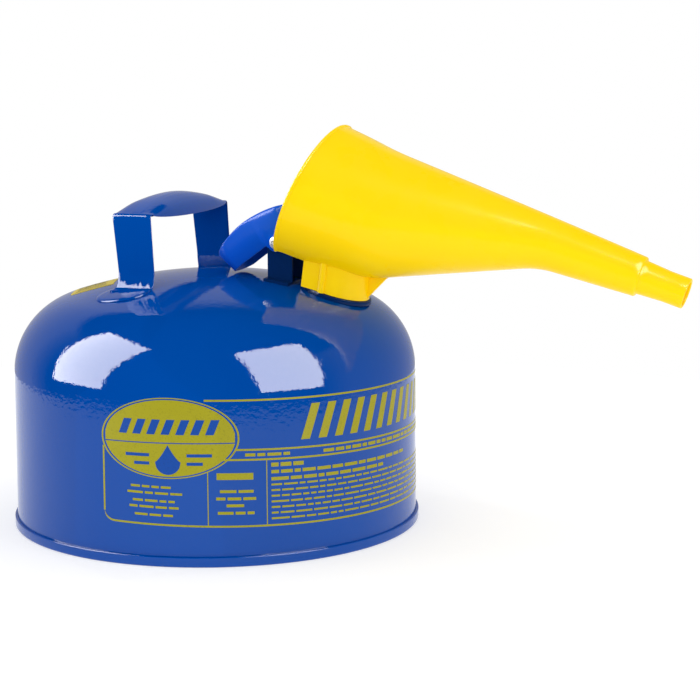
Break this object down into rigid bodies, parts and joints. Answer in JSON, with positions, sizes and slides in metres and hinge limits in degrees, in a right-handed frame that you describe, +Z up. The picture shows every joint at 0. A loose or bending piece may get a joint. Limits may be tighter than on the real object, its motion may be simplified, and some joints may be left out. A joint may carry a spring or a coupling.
{
  "type": "safety gas can",
  "caption": "Low round painted-steel safety can for fuel, with a fixed strap handle, spring-closed lever cap, flame arrester and a lift-off plastic pouring funnel.",
  "frame": {"origin": "on the can's vertical axis, in the plane of the floor it stands on", "axes": "+X towards the pouring spout and funnel tip, +Y to the can's left, +Z up"},
  "size_m": [0.477, 0.2858, 0.278],
  "materials": {
    "blue_enamel": "gloss baked enamel",
    "lever_enamel": "gloss powder coat",
    "zinc_plate": "bright zinc plate",
    "arrester_steel": "stainless mesh",
    "spring_steel": "oiled spring steel",
    "black_rubber": "matte fuel-proof rubber",
    "yellow_plastic": "satin polyethylene",
    "sticker_vinyl": "matte printed label"
  },
  "bodies": {
    "can": {"body_shell": "blue_enamel", "bottom_pan": "blue_enamel", "bottom_chime": "blue_enamel", "neck_tube": "blue_enamel", "neck_base_ring": "blue_enamel", "handle_strap": "blue_enamel", "hinge_bracket": "blue_enamel", "arrester_screen": "arrester_steel", "arrester_flange": "arrester_steel", "arrester_end_cap": "arrester_steel", "arrester_snap_ring": "spring_steel", "hinge_pin": "zinc_plate", "hinge_pin_clip": "spring_steel", "spring_sleeve": "zinc_plate", "inspection_sticker": "sticker_vinyl"},
    "lever": {"cap_lever": "lever_enamel", "closing_spring": "spring_steel", "cap_disc": "zinc_plate", "cap_gasket": "black_rubber", "gasket_retainer": "zinc_plate", "cap_rivet": "zinc_plate"},
    "funnel": {"funnel": "yellow_plastic"}
  },
  "joints": [
    {"name": "cap_hinge", "type": "hinge", "parent": "can", "child": "lever", "pos_m": [0.053, 0, 0.198], "axis": [0, 1, 0], "range_deg": [0, 38], "stiffness_Nm_per_rad": 0.5, "springref_deg": 80.21},
    {"name": "funnel_slide", "type": "slide", "parent": "can", "child": "funnel", "axis": [0.9914, 0, -0.1305], "range_m": [0, 0.14]}
  ]
}
